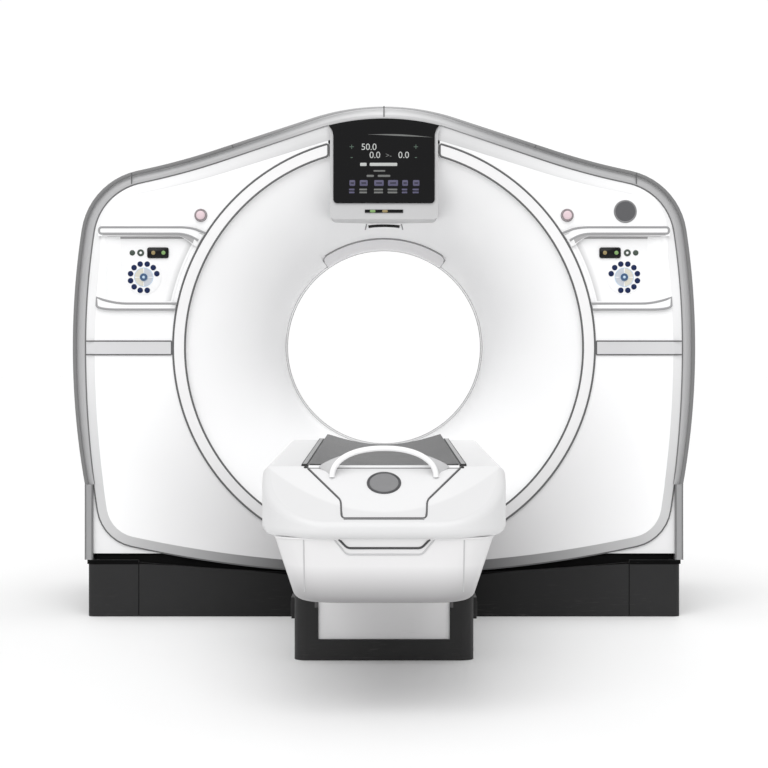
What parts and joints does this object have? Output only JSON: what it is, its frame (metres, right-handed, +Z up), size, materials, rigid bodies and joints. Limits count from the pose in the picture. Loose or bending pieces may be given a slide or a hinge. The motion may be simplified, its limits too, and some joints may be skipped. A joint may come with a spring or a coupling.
{
  "type": "ct scanner",
  "caption": "Computed tomography scanner: a wide gantry with a funnel-shaped bore, a display over it and side control panels, and a lifting patient table with a sliding cradle.",
  "frame": {"origin": "on the floor, under the middle of the gantry's bore", "axes": "+Z up; the bore runs along Y; -Y is the front, where the patient table stands; +X is the right side seen from the front"},
  "size_m": [2.3606, 3.25, 1.937],
  "materials": {
    "cover": "satin paint",
    "band": "satin paint",
    "side": "satin paint",
    "ring": "satin",
    "cone": "satin",
    "crescent": "matte",
    "bezel": "satin",
    "keypad": "matte",
    "dark_glass": "gloss",
    "housing": "satin",
    "strip": "satin",
    "plinth": "fine texture",
    "frame_steel": "powder coat",
    "rotor_steel": "machined",
    "electrics": "powder coat",
    "stop_red": "satin",
    "start_blue": "satin",
    "table_white": "satin",
    "table_grey": "satin",
    "column_metal": "brushed",
    "cradle_top": "fine weave",
    "rail_metal": "anodised",
    "roller_rubber": "matte",
    "handle_metal": "polished"
  },
  "bodies": {
    "gantry": {"gantry_base_frame": "frame_steel", "stator_frame": "frame_steel", "bearing_outer_race": "frame_steel", "brush_block": "electrics", "power_unit": "electrics", "control_unit": "electrics", "front_cover": "cover", "ring_trim": "ring", "front_cone": "cone", "bore_liner": "cone", "bore_crescent_panel": "crescent", "alignment_light_window": "dark_glass", "display_housing": "housing", "display_screen": "dark_glass", "status_lamp_strip": "dark_glass", "top_band_left": "band", "top_band_right": "band", "side_band_left": "band", "side_band_right": "band", "side_panel_left": "side", "side_panel_right": "side", "corner_panels": "cover", "control_bezel_left": "bezel", "control_bezel_right": "bezel", "keypads": "keypad", "lamp_windows": "dark_glass", "trim_strips": "strip", "base_cover_front": "plinth", "base_cover_left": "plinth", "base_cover_right": "plinth", "base_cover_rear": "plinth", "rear_cover": "cover", "rear_cone": "cone", "table_base_frame": "table_grey", "table_base_panel": "table_white", "lift_column_outer": "column_metal", "lift_actuator_housing": "frame_steel"},
    "rotor": {"rotor_drum": "rotor_steel", "xray_tube": "electrics", "generator_and_cooler": "electrics", "detector_array": "electrics", "slip_ring": "rotor_steel"},
    "lift_stage": {"lift_column_middle": "column_metal", "lift_actuator_rod": "rotor_steel"},
    "table_top": {"lift_column_inner": "column_metal", "table_top_frame": "frame_steel", "nose_cover": "table_white", "belly_cover": "table_white", "cradle_rails": "rail_metal"},
    "roller": {"cradle_roller": "roller_rubber"},
    "cradle_unit": {"cradle": "cradle_top", "cradle_end_cap": "table_white", "cradle_handle": "handle_metal"},
    "stop_button_left_body": {"stop_button_left": "stop_red"},
    "start_button_left_body": {"start_button_left": "start_blue"},
    "foot_pedal_left_body": {"foot_pedal_left": "table_grey"},
    "stop_button_right_body": {"stop_button_right": "stop_red"},
    "start_button_right_body": {"start_button_right": "start_blue"},
    "foot_pedal_right_body": {"foot_pedal_right": "table_grey"}
  },
  "joints": [
    {"name": "rotor_spin", "type": "hinge", "parent": "gantry", "child": "rotor", "pos_m": [0, 0, 1.02], "axis": [0, 1, 0], "continuous": true},
    {"name": "table_lift", "type": "slide", "parent": "gantry", "child": "table_top", "axis": [0, 0, 1], "range_m": [-0.18, 0.28]},
    {"name": "lift_stage_slide", "type": "slide", "parent": "gantry", "child": "lift_stage", "axis": [0, 0, 1], "range_m": [-0.09, 0.14]},
    {"name": "cradle_slide", "type": "slide", "parent": "table_top", "child": "cradle_unit", "axis": [0, 1, 0], "range_m": [0, 1.4]},
    {"name": "roller_spin", "type": "hinge", "parent": "table_top", "child": "roller", "pos_m": [0, -1.05, 0.60151], "axis": [1, 0, 0], "continuous": true},
    {"name": "stop_button_left_push", "type": "slide", "parent": "gantry", "child": "stop_button_left_body", "axis": [0, 1, 0], "range_m": [0, 0.004], "stiffness_N_per_m": 1500, "springref_m": -0.002},
    {"name": "start_button_left_push", "type": "slide", "parent": "gantry", "child": "start_button_left_body", "axis": [0, 1, 0], "range_m": [0, 0.002], "stiffness_N_per_m": 800, "springref_m": -0.002},
    {"name": "foot_pedal_left_press", "type": "slide", "parent": "gantry", "child": "foot_pedal_left_body", "axis": [0, 0, -1], "range_m": [0, 0.01], "stiffness_N_per_m": 2500, "springref_m": -0.005},
    {"name": "stop_button_right_push", "type": "slide", "parent": "gantry", "child": "stop_button_right_body", "axis": [0, 1, 0], "range_m": [0, 0.004], "stiffness_N_per_m": 1500, "springref_m": -0.002},
    {"name": "start_button_right_push", "type": "slide", "parent": "gantry", "child": "start_button_right_body", "axis": [0, 1, 0], "range_m": [0, 0.002], "stiffness_N_per_m": 800, "springref_m": -0.002},
    {"name": "foot_pedal_right_press", "type": "slide", "parent": "gantry", "child": "foot_pedal_right_body", "axis": [0, 0, -1], "range_m": [0, 0.01], "stiffness_N_per_m": 2500, "springref_m": -0.005}
  ],
  "couplings": [
    {"joint": "lift_stage_slide", "follows": "table_lift", "ratio": 0.5},
    {"joint": "roller_spin", "follows": "cradle_slide", "rad_per_m": -33.333}
  ]
}
